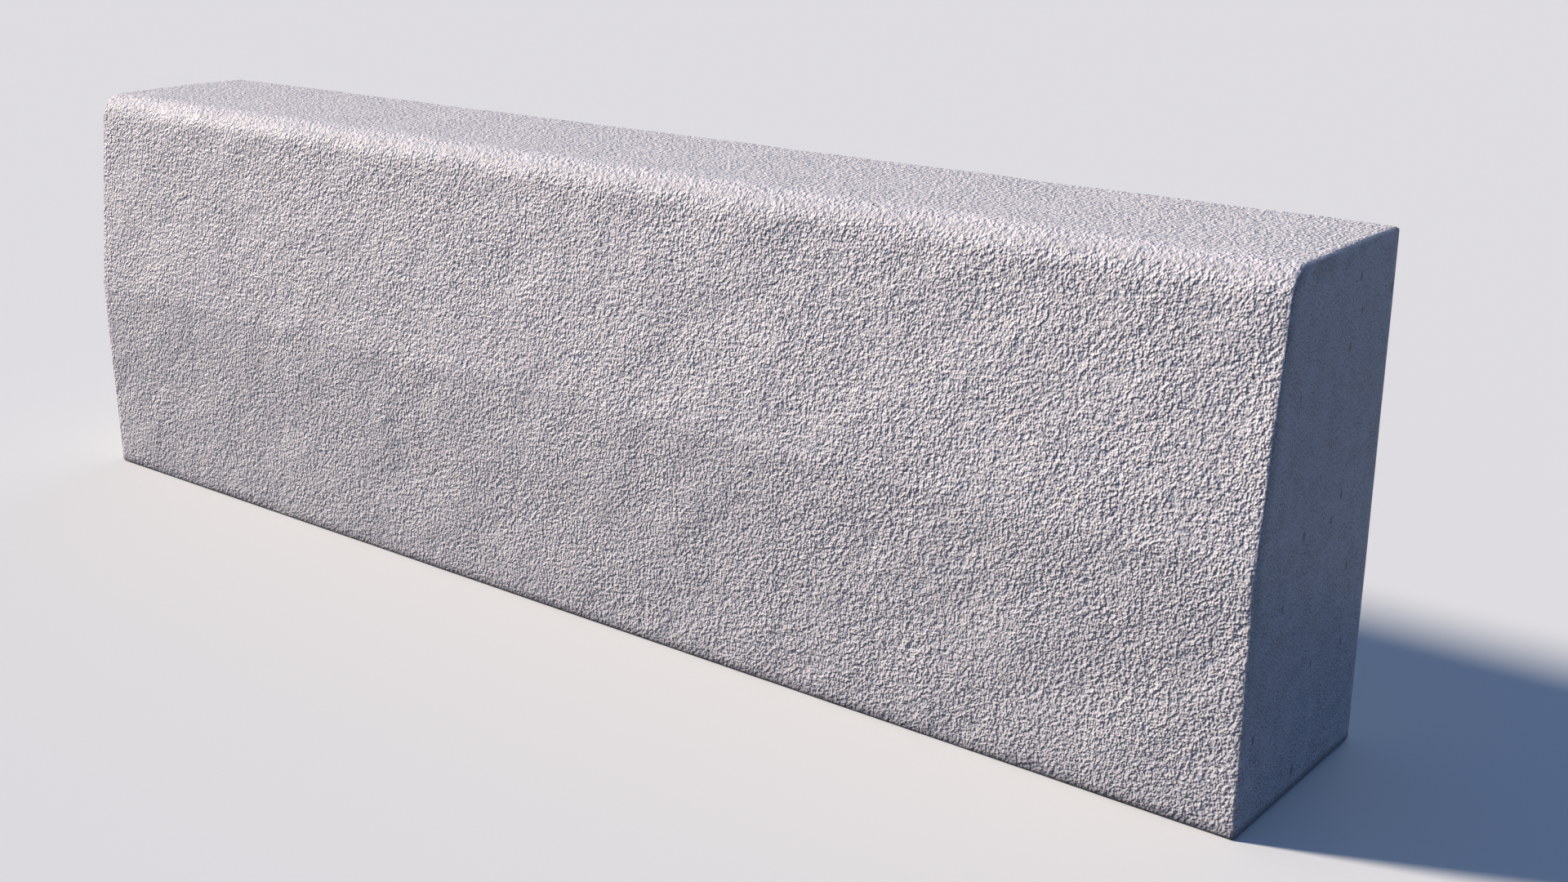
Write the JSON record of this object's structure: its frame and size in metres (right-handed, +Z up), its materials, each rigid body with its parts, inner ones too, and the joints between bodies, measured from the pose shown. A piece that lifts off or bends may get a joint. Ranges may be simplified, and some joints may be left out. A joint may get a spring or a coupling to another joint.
{
  "type": "concrete kerb stone",
  "caption": "Straight precast concrete road kerb with an upright foot, a battered upper face and a rounded nose, to edge a road or path.",
  "frame": {"origin": "centre of the base, on the ground", "axes": "+X along the kerb, -Y out of the road face, +Z up"},
  "size_m": [1, 0.15, 0.3],
  "materials": {
    "concrete": "matte"
  },
  "bodies": {
    "root": {"kerb_stone": "concrete"}
  },
  "joints": []
}
